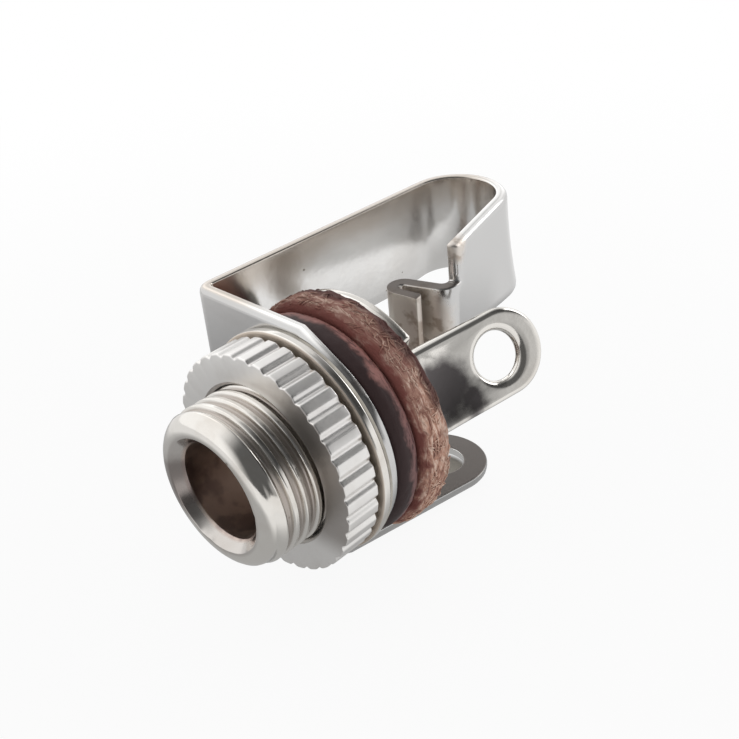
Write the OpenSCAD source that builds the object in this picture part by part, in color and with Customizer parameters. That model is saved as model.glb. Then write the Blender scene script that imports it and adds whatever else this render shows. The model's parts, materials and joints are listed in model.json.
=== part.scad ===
// Mono jack socket, 3.5 mm, open frame, panel mounting with a knurled ring nut.
// Millimetres. +Z is up, the plug goes in along +Y, so the mouth faces -Y.
// The origin is on the bush axis, on the front face of the collar that seats on the panel.

/* [Bush] */
// Outside diameter of the threaded nose
thread_d = 5.8; // [5.6:0.1:7]
// Length of the nose in front of the collar
nose_len = 3.75; // [3:0.05:6]
// Rounding of the nose's front edge
lip_r = 0.55; // [0.1:0.05:0.6]
// Diameter of the plug's bore
bore_d = 3.6; // [3.5:0.05:3.8]
// Diameter of the countersunk mouth
mouth_d = 4.3; // [3.9:0.05:4.6]
// Depth of the countersink
mouth_depth = 0.4; // [0.1:0.05:1]
// Diameter of the collar
collar_d = 8.4; // [7.8:0.1:9]
// Thickness of the collar
collar_t = 0.35; // [0.25:0.05:1]
// Chamfer round both edges of the collar
collar_chamfer = 0.08; // [0.02:0.01:0.1]
// Diameter of the shank that carries the stack
shank_d = 4.8; // [4.5:0.05:5]
// Radius of the rolled bead that holds the stack from behind
bead_r = 0.5; // [0.4:0.05:0.6]

/* [Ring nut] */
// Diameter over the knurl's ridges
nut_d = 8.2; // [7.8:0.1:10]
// Thickness of the nut
nut_t = 1.4; // [1:0.1:2]
// Number of ridges round the nut
knurl_ridges = 35; // [24:1:60]
// Depth of the knurl's grooves
knurl_depth = 0.16; // [0.1:0.02:0.3]
// Chamfer round the nut's outer edges
nut_chamfer = 0.06; // [0.02:0.02:0.2]
// Chamfer at both ends of the nut's hole
nut_lead = 0.2; // [0.1:0.05:0.4]
// Gap between the nut, as it is wound now, and the collar
nut_gap = 0.15; // [0.05:0.05:2]
// Clearance between the nut's hole and the thread, each side
thread_clearance = 0.05; // [0.02:0.01:0.1]

/* [Insulation] */
// Thickness of the film washer between the collar and the spring
film_t = 0.1; // [0.08:0.02:0.3]
// Diameter of the film washer
film_d = 8.3; // [7:0.1:8.4]
// Diameter of the front fibre washer
front_washer_d = 8.4; // [7.6:0.1:9]
// Thickness of the front fibre washer
front_washer_t = 0.95; // [0.6:0.05:2]
// Diameter of the shoulder that centres the spring
shoulder_d = 5.7; // [5.5:0.05:6]
// Diameter of the rear fibre washer
rear_washer_d = 8.8; // [7.6:0.1:9]
// Thickness of the rear fibre washer
rear_washer_t = 1.2; // [0.6:0.05:2]
// Rounding of the front fibre washer's rim
washer_round = 0.35; // [0.05:0.05:0.4]
// Rounding of the rear fibre washer's rim, which makes it barrel-shaped
rear_round = 0.4; // [0.05:0.05:0.55]
// Clearance of every hole in the stack, each side
stack_clearance = 0.05; // [0.02:0.01:0.1]

/* [Tip spring] */
// Thickness of the spring strip
spring_t = 0.45; // [0.3:0.05:0.6]
// Inside radius of the sharp folds
fold_r = 0.15; // [0.1:0.05:0.3]
// Radius of the round part of the front plate
plate_r = 4.0; // [3.8:0.05:4.4]
// Gap between the arm and the widest part of the stack
arm_gap = 0.05; // [0.05:0.05:1]
// Height of the strip's top edge above the axis
strip_top = 4.4; // [4.2:0.05:5]
// Height of the strip's lower edge above the axis
strip_low = 0.15; // [-0.5:0.05:0.5]
// Place of the top edge's right-hand corner
top_corner_x = 0.35; // [0.2:0.05:1.4]
// Length of the straight arm
arm_len = 10.7; // [9:0.1:14]
// Angle by which the arm leans towards the axis
arm_lean = 3; // [0:0.5:5]
// Outside radius of the bend at the back
back_bend_r = 2.1; // [1.6:0.05:2.4]
// Angle of the bend at the back
back_bend = 161.5; // [160:0.5:176]
// Length of the strip that comes forward again
return_len = 4.3; // [2:0.1:4.5]
// Inside radius of the fold that carries the tongue
tongue_fold_r = 0.25; // [0.15:0.05:0.4]
// Angle of the fold that carries the tongue
tongue_fold = 88; // [60:1:95]
// Height of the tongue's top edge above the axis
tongue_top = 2.9; // [1.6:0.05:3.2]
// Length of the tongue up to its hook
tongue_len = 1.2; // [0.6:0.05:1.8]
// Angle by which the tongue's end is hooked back towards the plug
tip_bend = 170; // [80:1:175]
// Length of the contact past the hook's bend
lead_in_len = 1; // [0.4:0.05:1.2]

/* [Tip terminal] */
// Width of the terminal at its fold
tab_w = 2.7; // [2:0.1:3.6]
// Diameter of the terminal's round end
tab_end_d = 4; // [3.6:0.1:5]
// Length of the terminal behind its fold
tab_len = 8.1; // [5:0.1:10]
// Diameter of the terminal's hole
tab_hole_d = 2.1; // [1.2:0.05:2.6]
// Gap between the terminal and the widest part of the stack
tab_gap = 0.1; // [0.05:0.05:1]
// Angle by which the terminal slopes down
tab_slope = 4; // [0:0.5:10]

/* [Sleeve lug] */
// Thickness of the lug's sheet
lug_t = 0.4; // [0.3:0.05:0.6]
// Diameter of the lug's disc
disc_d = 8.6; // [8:0.1:9]
// Place of the lug round the axis, from the side towards the top
lug_turn = 25; // [0:1:40]
// Distance from the axis to the lug's outer face at its fold
lug_fold_x = 3.9; // [3.6:0.05:4.2]
// Width of the lug
lug_w = 3.1; // [2.6:0.1:4]
// Angle by which the lug leans outwards
lug_splay = 14; // [0:1:25]
// Distance from the lug's fold to its hole
lug_hole_reach = 2.75; // [1.8:0.05:5]
// Distance from the lug's hole to the centre of its round end
lug_end_offset = 0.3; // [0:0.05:1]
// Diameter of the lug's hole
lug_hole_d = 1.75; // [1.2:0.05:2.4]

/* [Hidden] */
$fn = 96;

nickel = [0.79, 0.78, 0.75];
bright_nickel = [0.85, 0.84, 0.81];
dark_fibre = [0.33, 0.21, 0.19];
red_fibre = [0.52, 0.30, 0.25];
clear_film = [0.62, 0.58, 0.50];

// A cutter reaches this far past the face that it cuts
over = 1;
// Largest angle of one facet in the strip's bends
bend_facet = 6;
// A rim's rounding takes at most this share of the rim's thickness
rim_share = 0.45;

thread_r = thread_d / 2;
bore_r = bore_d / 2;
mouth_r = mouth_d / 2;
collar_r = collar_d / 2;
shank_r = shank_d / 2;
shank_hole_r = shank_r + stack_clearance;

// Faces of the stack along the axis, from the collar backwards
film_y = collar_t;
spring_y = film_y + film_t;
front_washer_y = spring_y + spring_t;
rear_washer_y = front_washer_y + front_washer_t;
disc_y = rear_washer_y + rear_washer_t;
stack_end = disc_y + lug_t;
stack_r = max(front_washer_d, rear_washer_d, disc_d) / 2;

// Folds of the spring. The arm leans in, so it comes closest to the stack at the stack's end
fold_out = fold_r + spring_t;
fold_y = front_washer_y + fold_r;
arm_lean_in = (stack_end - fold_y) * tan(arm_lean);
plate_edge_x = stack_r + arm_gap + arm_lean_in - fold_r / cos(arm_lean);
tab_fold_z = stack_r + tab_gap - fold_r;
tab_half = tab_w / 2;
tab_end_r = tab_end_d / 2;

// Folds of the lug
lug_fold_out = fold_r + lug_t;
lug_hinge_x = lug_fold_x - lug_fold_out;
lug_half = lug_w / 2;
lug_end_reach = lug_hole_reach + lug_end_offset;

// Point where a straight edge from p runs onto a circle of radius r round the origin
function tangent_point(p, r, side) =
    let (turn = atan2(p.y, p.x) + side * acos(min(1, r / norm(p))))
    r * [cos(turn), sin(turn)];

// Directions for a heading that is counted anticlockwise from +X, seen from above
function ahead(heading) = [cos(heading), sin(heading)];
function left(heading) = [-sin(heading), cos(heading)];

// Turns a shape that was drawn round Z onto the bush axis
module on_axis() {
    rotate([-90, 0, 0]) children();
}

// Stands an outline of x and z up as a sheet whose front face is at y
module upright_sheet(y, thickness) {
    translate([0, y + thickness, 0])
        rotate([90, 0, 0])
            linear_extrude(thickness) children();
}

// Half-section of a ring with a rounded rim, from y0 back by t
module rounded_rim(inner, outer, y0, t, round) {
    r = min(round, rim_share * t);
    translate([inner, y0]) square([outer - r - inner, t]);
    translate([inner, y0 + r]) square([outer - inner, t - 2 * r]);
    for (y = [y0 + r, y0 + t - r])
        translate([outer - r, y]) circle(r);
}

module bush_section() {
    // Threaded nose with its rounded lip
    translate([bore_r, lip_r - nose_len])
        square([thread_r - bore_r, nose_len - lip_r + collar_t / 2]);
    translate([bore_r, -nose_len]) square([thread_r - lip_r - bore_r, 2 * lip_r]);
    translate([thread_r - lip_r, lip_r - nose_len]) circle(lip_r);
    // Collar
    polygon([
        [bore_r, 0],
        [collar_r - collar_chamfer, 0],
        [collar_r, collar_chamfer],
        [collar_r, collar_t - collar_chamfer],
        [collar_r - collar_chamfer, collar_t],
        [bore_r, collar_t]
    ]);
    // Shank and the bead that is rolled over behind the lug
    translate([bore_r, 0]) square([shank_r - bore_r, stack_end]);
    intersection() {
        translate([bore_r + bead_r, stack_end]) circle(bead_r);
        translate([bore_r, stack_end]) square([2 * bead_r, bead_r + over]);
    }
}

module bush() {
    color(bright_nickel)
        on_axis()
            rotate_extrude()
                difference() {
                    bush_section();
                    polygon([
                        [0, -nose_len - over],
                        [mouth_r, -nose_len - over],
                        [mouth_r, -nose_len],
                        [bore_r, mouth_depth - nose_len],
                        [0, mouth_depth - nose_len]
                    ]);
                }
}

// Outline of the knurl: a narrow crest and a narrow root for each ridge
module knurl_outline() {
    pitch = 360 / knurl_ridges;
    crest = 0.07;
    root = 0.43;
    crest_r = nut_d / 2;
    root_r = crest_r - knurl_depth;
    corners = [[root_r, -root], [crest_r, -crest], [crest_r, crest], [root_r, root]];
    polygon([
        for (i = [0 : knurl_ridges - 1])
            for (c = corners)
                let (turn = (i + c.y) * pitch)
                c.x * [cos(turn), sin(turn)]
    ]);
}

module ring_nut() {
    hole_r = thread_r + thread_clearance;
    outer_r = nut_d / 2;
    color(nickel)
        translate([0, -nut_gap - nut_t, 0])
            on_axis()
                difference() {
                    intersection() {
                        linear_extrude(nut_t) knurl_outline();
                        rotate_extrude()
                            polygon([
                                [0, 0],
                                [outer_r - nut_chamfer, 0],
                                [outer_r, nut_chamfer],
                                [outer_r, nut_t - nut_chamfer],
                                [outer_r - nut_chamfer, nut_t],
                                [0, nut_t]
                            ]);
                    }
                    translate([0, 0, -over]) cylinder(h = nut_t + 2 * over, r = hole_r);
                    for (end = [0, 1])
                        translate([0, 0, end * nut_t])
                            mirror([0, 0, end])
                                cylinder(h = nut_lead, r1 = hole_r + nut_lead, r2 = hole_r);
                }
}

module film_washer() {
    color(clear_film)
        upright_sheet(film_y, film_t)
            difference() {
                circle(d = film_d);
                circle(shank_hole_r);
            }
}

module front_fibre_washer() {
    color(dark_fibre)
        on_axis()
            rotate_extrude() {
                rounded_rim(
                    shank_hole_r, front_washer_d / 2,
                    front_washer_y, front_washer_t, washer_round
                );
                translate([shank_hole_r, spring_y])
                    square([shoulder_d / 2 - shank_hole_r, spring_t + front_washer_t / 2]);
            }
}

module rear_fibre_washer() {
    color(red_fibre)
        on_axis()
            rotate_extrude()
                rounded_rim(
                    shank_hole_r, rear_washer_d / 2,
                    rear_washer_y, rear_washer_t, rear_round
                );
}

// Front plate of the spring: a round that spreads into the arm's root and the terminal's root
module spring_plate_outline() {
    arm_root = [-plate_edge_x, strip_low];
    top_corner = [top_corner_x, strip_top];
    difference() {
        union() {
            circle(plate_r);
            polygon([
                [-plate_edge_x, strip_top],
                top_corner,
                tangent_point(top_corner, plate_r, -1),
                [0, 0],
                tangent_point(arm_root, plate_r, 1),
                arm_root
            ]);
            translate([-tab_half, -tab_fold_z]) square([tab_w, tab_fold_z]);
        }
        circle(shoulder_d / 2 + stack_clearance);
    }
}

// One side of a folded strip, seen from above, as points. Each fold is [run, angle, inside radius]:
// straight for the run, then a bend by the angle, where a positive angle turns right.
// The tail is the straight end after the last fold, and side is how far the points lie to the left
// of the line that is folded.
function strip_side(folds, tail, side, at, heading, i = 0) =
    i == len(folds)
        ? (tail > 0 ? [at + tail * ahead(heading) + side * left(heading)] : [])
        : let (
            run = folds[i][0],
            angle = folds[i][1],
            inside = folds[i][2],
            hinge_side = angle < 0 ? spring_t + inside : -inside,
            hinge = at + run * ahead(heading) + hinge_side * left(heading),
            facets = ceil(abs(angle) / bend_facet)
        )
        concat(
            [
                for (j = [0 : facets])
                    hinge + (side - hinge_side) * left(heading - angle * j / facets)
            ],
            strip_side(
                folds, tail, side,
                hinge - hinge_side * left(heading - angle), heading - angle, i + 1
            )
        );

// Strip that is folded out of the plate's left edge
module strip(folds, tail, top) {
    start = [-plate_edge_x, front_washer_y];
    inner = strip_side(folds, tail, 0, start, 180);
    outer = strip_side(folds, tail, spring_t, start, 180);
    translate([0, 0, strip_low])
        linear_extrude(top - strip_low)
            polygon(concat(inner, [for (i = [len(outer) - 1 : -1 : 0]) outer[i]]));
}

// Arm, bend and return strip at full height, and the lower part that goes on into the hooked tongue
module spring_arm() {
    arm_folds = [
        [0, 90 + arm_lean, fold_r],
        [arm_len, back_bend, back_bend_r - spring_t]
    ];
    tongue_folds = [
        [return_len, tongue_fold, tongue_fold_r],
        [tongue_len, -tip_bend, fold_r]
    ];
    strip(arm_folds, return_len, strip_top);
    strip(concat(arm_folds, tongue_folds), lead_in_len, tongue_top);
}

// Terminal seen from above, with its hole at the origin: its sides spread from the fold
module terminal_outline() {
    root = [tab_half, tab_end_r - tab_len];
    swell = tangent_point(root, tab_end_r, 1);
    difference() {
        union() {
            circle(tab_end_r);
            polygon([root, swell, [-swell.x, swell.y], [-root.x, root.y]]);
        }
        circle(d = tab_hole_d);
    }
}

// Terminal: a fold below the plate and a sheet that runs back under the stack
module spring_terminal() {
    translate([0, fold_y, -tab_fold_z]) {
        translate([-tab_half, 0, 0])
            rotate([0, 90, 0])
                rotate(-90)
                    rotate_extrude(angle = 90 - tab_slope)
                        translate([fold_r, 0]) square([spring_t, tab_w]);
        rotate([-tab_slope, 0, 0])
            translate([0, 0, -fold_out])
                linear_extrude(spring_t)
                    translate([0, tab_len - tab_end_r]) terminal_outline();
    }
}

module tip_spring() {
    color(nickel) {
        upright_sheet(spring_y, spring_t) spring_plate_outline();
        spring_arm();
        spring_terminal();
    }
}

// Disc of the sleeve lug, cut back to the fold over the lug's width
module lug_disc_outline() {
    difference() {
        circle(d = disc_d);
        circle(shank_hole_r);
        translate([lug_hinge_x, -lug_half]) square([disc_d, lug_w]);
    }
}

module sleeve_lug() {
    color(bright_nickel)
        rotate([0, -lug_turn, 0]) {
            upright_sheet(disc_y, lug_t) lug_disc_outline();
            translate([lug_hinge_x, stack_end + fold_r, 0]) {
                translate([0, 0, -lug_half])
                    rotate(-90)
                        rotate_extrude(angle = 90 - lug_splay)
                            translate([fold_r, 0]) square([lug_t, lug_w]);
                rotate(-lug_splay)
                    translate([fold_r, 0, 0])
                        rotate([90, 0, 90])
                            linear_extrude(lug_t)
                                difference() {
                                    union() {
                                        translate([0, -lug_half]) square([lug_end_reach, lug_w]);
                                        translate([lug_end_reach, 0]) circle(lug_half);
                                    }
                                    translate([lug_hole_reach, 0]) circle(d = lug_hole_d);
                                }
            }
        }
}

bush();
ring_nut();
film_washer();
tip_spring();
front_fibre_washer();
rear_fibre_washer();
sleeve_lug();
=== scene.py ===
# %% [markdown]
# # Mono jack socket
# A 3.5 mm panel socket of the open-frame kind. A turned bush takes the plug, a knurled ring nut clamps it
# to a panel, and a folded spring strip reaches round to touch the plug's tip. Fibre washers keep the two
# circuits apart. The solids of all seven pieces are packed already, and they stay where they are. This
# lesson dresses each of them: first the shape that the eye sees, then its finish, then the studio round it.

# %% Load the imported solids
import json
import math
import random

import bmesh
import bpy
import numpy as np
from mathutils import Matrix, Vector, noise


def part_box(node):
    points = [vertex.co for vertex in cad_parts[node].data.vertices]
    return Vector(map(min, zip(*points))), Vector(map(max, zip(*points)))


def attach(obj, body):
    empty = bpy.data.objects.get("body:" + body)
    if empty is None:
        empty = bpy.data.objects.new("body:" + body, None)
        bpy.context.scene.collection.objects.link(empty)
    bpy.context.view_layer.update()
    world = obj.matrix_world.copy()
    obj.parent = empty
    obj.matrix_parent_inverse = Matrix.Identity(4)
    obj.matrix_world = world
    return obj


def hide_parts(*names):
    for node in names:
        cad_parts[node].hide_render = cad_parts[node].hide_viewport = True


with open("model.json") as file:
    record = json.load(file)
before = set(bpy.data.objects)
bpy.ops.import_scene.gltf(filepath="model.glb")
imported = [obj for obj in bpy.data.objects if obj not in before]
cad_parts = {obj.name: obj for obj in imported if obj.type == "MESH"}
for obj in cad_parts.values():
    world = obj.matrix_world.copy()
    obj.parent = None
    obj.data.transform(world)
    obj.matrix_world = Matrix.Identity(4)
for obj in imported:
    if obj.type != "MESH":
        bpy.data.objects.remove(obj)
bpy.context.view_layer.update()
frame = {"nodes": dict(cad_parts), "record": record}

# %% [markdown]
# ## Sizes
# Every size here is in millimetres and is multiplied by MM once, when a mesh is made. What the frame can
# tell is read from it: the box of each solid, and the holes that the record lists. Only what these can't
# show, such as the thickness of a sheet or the radius of a fold, is written down as a value of its own.

# %% Read sizes from the frame
MM = 0.001


def box_mm(node):
    """Lowest and highest corner of a solid."""
    low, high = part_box(node)
    return low / MM, high / MM


def mount(name):
    """A hole or a seat that the record lists."""
    return next(m for m in frame["record"]["mounts"] if m["name"] == name)


def hole_radius(name):
    return mount(name)["dims"]["r_mm"]


bore_r = hole_radius("plug_bore")
print(f"the plug's bore is {2 * bore_r:.2f} mm wide")

# %% [markdown]
# ## A piece from points
# Each visible piece is one mesh. It rides on the body of the solid that it stands for, and it hides that
# solid. Welding points that meet lets a piece be drawn patch by patch, such as a flat, then a fold, then the
# next flat.

# %% Turn points and faces into a piece
WELD = 0.001


def weld_shell(points, faces):
    """One mesh in millimetres whose patches are joined and whose faces all look the same way."""
    shell = bmesh.new()
    corners = [shell.verts.new(p) for p in points]
    for face in faces:
        shell.faces.new([corners[k] for k in face])
    bmesh.ops.remove_doubles(shell, verts=shell.verts, dist=WELD)
    bmesh.ops.recalc_face_normals(shell, faces=shell.faces)
    return shell


def add_piece(name, shell, body, node=None):
    """Links a mesh drawn in millimetres as a visible piece, in place of a solid where one is named."""
    bmesh.ops.scale(shell, vec=(MM, MM, MM), verts=shell.verts)
    for face in shell.faces:
        face.smooth = True
    mesh = bpy.data.meshes.new(name)
    shell.to_mesh(mesh)
    shell.free()
    piece = bpy.data.objects.new(name, mesh)
    bpy.context.collection.objects.link(piece)
    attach(piece, body)
    if node:
        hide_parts(node)
    print(f"{name}: {len(mesh.vertices)} points, {len(mesh.polygons)} faces")
    return piece


# %% [markdown]
# ## Turned pieces
# The bush, the nut and the washers were all made on a lathe or punched round, so each is one section carried
# round the plug's axis. A spin of a plain section would give perfect machine edges. Real ones are broken a
# little, so every corner of a section has its own rounding, drawn as a short curve, and the light then
# catches it as a bright line.

# %% Draw a section with rounded corners
ARC_STEPS = 9


def rounded_section(corners):
    """Closed section from corners of (radius, along, rounding, parts of the straight that follows)."""
    here = [Vector(c[:2]) for c in corners]
    starts, ends, arcs = [], [], []
    for i, (_, _, rounding, _) in enumerate(corners):
        before = (here[i - 1] - here[i]).normalized()
        after = (here[(i + 1) % len(here)] - here[i]).normalized()
        half = before.angle(after) / 2
        starts.append(here[i] + before * rounding / math.tan(half))
        ends.append(here[i] + after * rounding / math.tan(half))
        middle = here[i] + (before + after).normalized() * rounding / math.sin(half)
        first, last = starts[i] - middle, ends[i] - middle
        steps = ARC_STEPS if rounding else 0
        swing = [first.slerp(last, k / steps).normalized() for k in range(steps)]
        arcs.append([middle + side * rounding for side in swing])
    points = []
    for i, (_, _, _, parts) in enumerate(corners):
        run = starts[(i + 1) % len(here)] - ends[i]
        points += arcs[i] + [ends[i] + run * k / parts for k in range(parts)]
    return np.array([tuple(p) for p in points])


# %% Carry a section round
def band(row, above, count):
    """Faces between two closed rows of points that start at these numbers."""
    steps = [(k, (k + 1) % count) for k in range(count)]
    return [(row + k, row + after, above + after, above + k) for k, after in steps]


def carry_round(section, turns, shape=None):
    """A section turned about the Y axis. shape(radius, along, angle) gives each point's true radius."""
    angles = np.linspace(0, 2 * math.pi, turns, endpoint=False)
    radius, angle = np.meshgrid(section[:, 0], angles, indexing="ij")
    along = np.repeat(section[:, 1:2], turns, axis=1)
    if shape:
        radius = shape(radius, along, angle)
    points = np.stack([radius * np.cos(angle), along, radius * np.sin(angle)], axis=-1)
    count = len(section)
    faces = []
    for i in range(count):
        faces += band(i * turns, (i + 1) % count * turns, turns)
    return weld_shell(points.reshape(-1, 3), faces)


# %% [markdown]
# ## Bush
# The bush is brass bar turned on a lathe: a bore for the plug, a countersunk mouth inside a thick rounded
# lip, a fine thread for the nut, a collar, and a shank whose far end is rolled over the stack as a bead. The
# thread could be bump in the material, but then the outline of the nose stays smooth, so its helix is cut in
# the mesh. A point's radius depends on how far along and how far round it is, and the groove fades out at
# the lip and at the collar. The edge of the mouth has a burr and a nick, as a part that was tumbled in a
# barrel with others has.

# %% Sizes of the bush
thread_r = 2.9
lip_r = 0.7
mouth_r = 2.15
mouth_depth = 0.4
shank_r = 2.4
bead_r = 0.5
bush_low, bush_high = box_mm("bush")
nose_y = bush_low.y
collar_y = box_mm("film_washer")[0].y
stack_end = bush_high.y - bead_r
print(f"bush {bush_high.y - nose_y:.2f} mm long, collar {2 * bush_high.x:.2f} mm across")

# %% Cut the thread and mark the mouth
thread_pitch = 0.5
thread_depth = 0.17
first_crest = -3.13
crest_half = 0.14
root_from = 0.36
run_in = (first_crest - 0.35, first_crest - 0.1)
run_out = (0.1, 0.4)
nose_band = 0.1
mark_reach = 0.09
mouth_marks = [(256, 4, -0.035), (243, 4, 0.03), (5, 3, 0.03), (285, 9, -0.015)]


def smooth_step(value, low, high):
    """0 up to low, 1 from high on, and a soft ramp between."""
    share = np.clip((value - low) / (high - low), 0, 1)
    return share * share * (3 - 2 * share)


def from_whole(turns):
    """How far a number of turns is from the nearest whole one."""
    return np.abs((turns + 0.5) % 1 - 0.5)


def cut_thread(radius, along, angle):
    """Right-hand thread with flat crests and roots on the nose, and marks on the mouth's edge.
    A mark is (place in degrees, width in degrees, depth)."""
    turn = (along - first_crest) / thread_pitch + angle / (2 * math.pi)
    groove = smooth_step(from_whole(turn), crest_half, root_from)
    threaded = smooth_step(along, *run_in) * smooth_step(-along, *run_out)
    on_nose = np.abs(radius - thread_r) < nose_band
    cut = radius - on_nose * threaded * thread_depth * groove
    near_edge = np.exp(-(np.hypot(radius - mouth_r, along - nose_y) / mark_reach) ** 2)
    for place, width, depth in mouth_marks:
        away = (np.degrees(angle) - place + 180) % 360 - 180
        cut += near_edge * depth * np.exp(-((away / width) ** 2))
    return cut


# %% Build the bush
bush_turns = 270
thread_parts = 112
cone_round = 0.08
edge_round = 0.1
bead_round = 0.98 * bead_r
bead_edge = bore_r + 2 * bead_r
bush_section = rounded_section([
    (bore_r, nose_y + mouth_depth, cone_round, 4),
    (mouth_r, nose_y, edge_round, 1),
    (thread_r, nose_y, lip_r, thread_parts),
    (thread_r, 0, 0, 2),
    (bush_high.x, 0, edge_round, 2),
    (bush_high.x, collar_y, edge_round, 2),
    (shank_r, collar_y, 0, 3),
    (shank_r, stack_end, 0, 2),
    (bead_edge, stack_end, 0, 1),
    (bead_edge, bush_high.y, bead_round, 1),
    (bore_r, bush_high.y, bead_round, 8),
])
bush_shell = carry_round(bush_section, bush_turns, cut_thread)
bush = add_piece("turned_bush", bush_shell, "socket", "bush")

# %% [markdown]
# ## Ring nut
# The nut is a round brass ring with a straight knurl. The knurl is a row of narrow V grooves that leave wide
# ridges, so each ridge shows the light one bright top and one thin line at its side. It could be a ring with
# a row of cutters, but one grid with the knurl in its radius is lighter and never fails. Each ridge has the
# same number of steps, so the ridge tops fall on the same points all round.

# %% Build the ring nut
knurl_ridges = 35
knurl_steps = 20
knurl_depth = 0.11
knurl_flat = 0.2
groove_middle = 0.5
clearance = 0.05
nut_hole_r = thread_r + clearance
nut_lead = 0.12
nut_round = 0.06
lead_round = 0.03
nut_low, nut_high = box_mm("ring_nut")


def press_knurl(radius, along, angle):
    """Straight V grooves between wide ridges on the outside of the ring."""
    place = from_whole(angle * knurl_ridges / (2 * math.pi))
    outside = radius > nut_high.x - 2 * nut_round
    return radius - outside * knurl_depth * smooth_step(place, knurl_flat, groove_middle)


nut_section = rounded_section([
    (nut_hole_r + nut_lead, nut_low.y, lead_round, 1),
    (nut_high.x, nut_low.y, nut_round, 6),
    (nut_high.x, nut_high.y, nut_round, 1),
    (nut_hole_r + nut_lead, nut_high.y, lead_round, 1),
    (nut_hole_r, nut_high.y - nut_lead, lead_round, 4),
    (nut_hole_r, nut_low.y + nut_lead, lead_round, 1),
])
nut_shell = carry_round(nut_section, knurl_ridges * knurl_steps, press_knurl)
ring_nut = add_piece("knurled_nut", nut_shell, "nut", "ring_nut")

# %% [markdown]
# ## Fibre washers
# Vulcanised fibre is layered paper. When a punch cuts it, the rim tears a little and stays furry. A smooth
# ring with a rough material would keep a clean outline, so the rims are pushed in and out by a noise that is
# the same in each run. The front washer is hard and dark, with a shoulder that centres the spring on the
# shank. The rear one is softer and paler, and its rim has swollen to a barrel.

# %% Tear the rim of a washer
rim_turns = 320
tear_round = 7
tear_along = 3.2
tear_roughness, tear_step, tear_layers = 0.9, 2.1, 4
tear_bias = 0.35
tear_band = (0.5, 0.1)


def torn_rim(depth, seed):
    """A shape for carry_round that ruffles the outer rim of a washer."""

    def shape(radius, along, angle):
        rim = radius.max()
        outside = smooth_step(radius, rim - tear_band[0], rim - tear_band[1])
        ruffle = np.zeros_like(radius)
        for i, j in np.ndindex(radius.shape):
            a = angle[i, j]
            across = (math.cos(a) * tear_round, math.sin(a) * tear_round)
            place = Vector((*across, along[i, j] * tear_along + seed))
            ruffle[i, j] = noise.fractal(place, tear_roughness, tear_step, tear_layers)
        return radius - outside * depth * (tear_bias + ruffle)

    return shape


# %% Build the two fibre washers
washer_hole_r = shank_r + clearance
shoulder_r = 2.85
spring_t = 0.45
front_round = 0.35
front_tear = 0.025
rear_front_round = 0.4
rear_round = 0.16
rear_swell = 0.08
rear_tear = 0.08
front_low, front_high = box_mm("front_fibre_washer")
rear_low, rear_high = box_mm("rear_fibre_washer")
rear_rim = rear_high.x + rear_swell
front_section = rounded_section([
    (washer_hole_r, front_low.y, 0, 1),
    (shoulder_r, front_low.y, 0, 1),
    (shoulder_r, front_low.y + spring_t, 0, 3),
    (front_high.x, front_low.y + spring_t, front_round, 6),
    (front_high.x, front_high.y, front_round, 3),
    (washer_hole_r, front_high.y, 0, 2),
])
rear_section = rounded_section([
    (washer_hole_r, rear_low.y, 0, 3),
    (rear_rim, rear_low.y, rear_front_round, 16),
    (rear_rim, rear_high.y, rear_round, 3),
    (washer_hole_r, rear_high.y, 0, 2),
])
front_shell = carry_round(front_section, rim_turns, torn_rim(front_tear, seed=3.0))
front_washer = add_piece("dark_washer", front_shell, "socket", "front_fibre_washer")
rear_shell = carry_round(rear_section, rim_turns, torn_rim(rear_tear, seed=11.0))
rear_washer = add_piece("red_washer", rear_shell, "socket", "rear_fibre_washer")

# %% [markdown]
# ### Loose strands
# Close up, the rear washer's rim is a tangle of single fibres that lie along it. A hair system could grow
# them, but it wouldn't come out as a mesh. Thin tapered tubes, laid down by a seeded die, follow the barrel
# of the rim and keep the same places in each run.

# %% Draw the line of one strand
strand_steps = 6
strand_lift = 0.025
strand_sink = 0.8
strand_slant = 42
strand_curl = 2
strand_lengths = (0.2, 0.6)
strand_starts = (rear_low.y + 0.16, rear_high.y - 0.1)
strand_limits = (rear_low.y + 0.1, rear_high.y - 0.06)
strand_die = random.Random(7)


def barrel_radius(along):
    """Radius of the rear washer's rim at a place along the axis."""
    ends = [(rear_front_round, along - rear_low.y), (rear_round, rear_high.y - along)]
    rounding, into = min(ends, key=lambda end: end[1] - end[0])
    hollow = max(0, rounding - into)
    return rear_rim - rounding + math.sqrt(max(0, rounding**2 - hollow**2))


def strand_line():
    """Points of one fibre on the rim, curling a little to one side."""
    turn = strand_die.uniform(0, 2 * math.pi)
    along = strand_die.uniform(*strand_starts)
    slant = math.radians(strand_die.gauss(0, strand_slant))
    curl = strand_die.uniform(-strand_curl, strand_curl)
    step = strand_die.uniform(*strand_lengths) / strand_steps
    points = []
    for k in range(strand_steps + 1):
        lift = strand_lift * (math.sin(math.pi * k / strand_steps) - strand_sink)
        radius = barrel_radius(along) + lift
        points.append(Vector((radius * math.cos(turn), along, radius * math.sin(turn))))
        turn += step * math.cos(slant) / rear_rim
        along = min(max(along + step * math.sin(slant), strand_limits[0]), strand_limits[1])
        slant += curl * step
    return points


# %% Lay strands on the rear washer
strand_count = 460
strand_r = 0.026
strand_end = 0.35
strand_sides = 4


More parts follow.
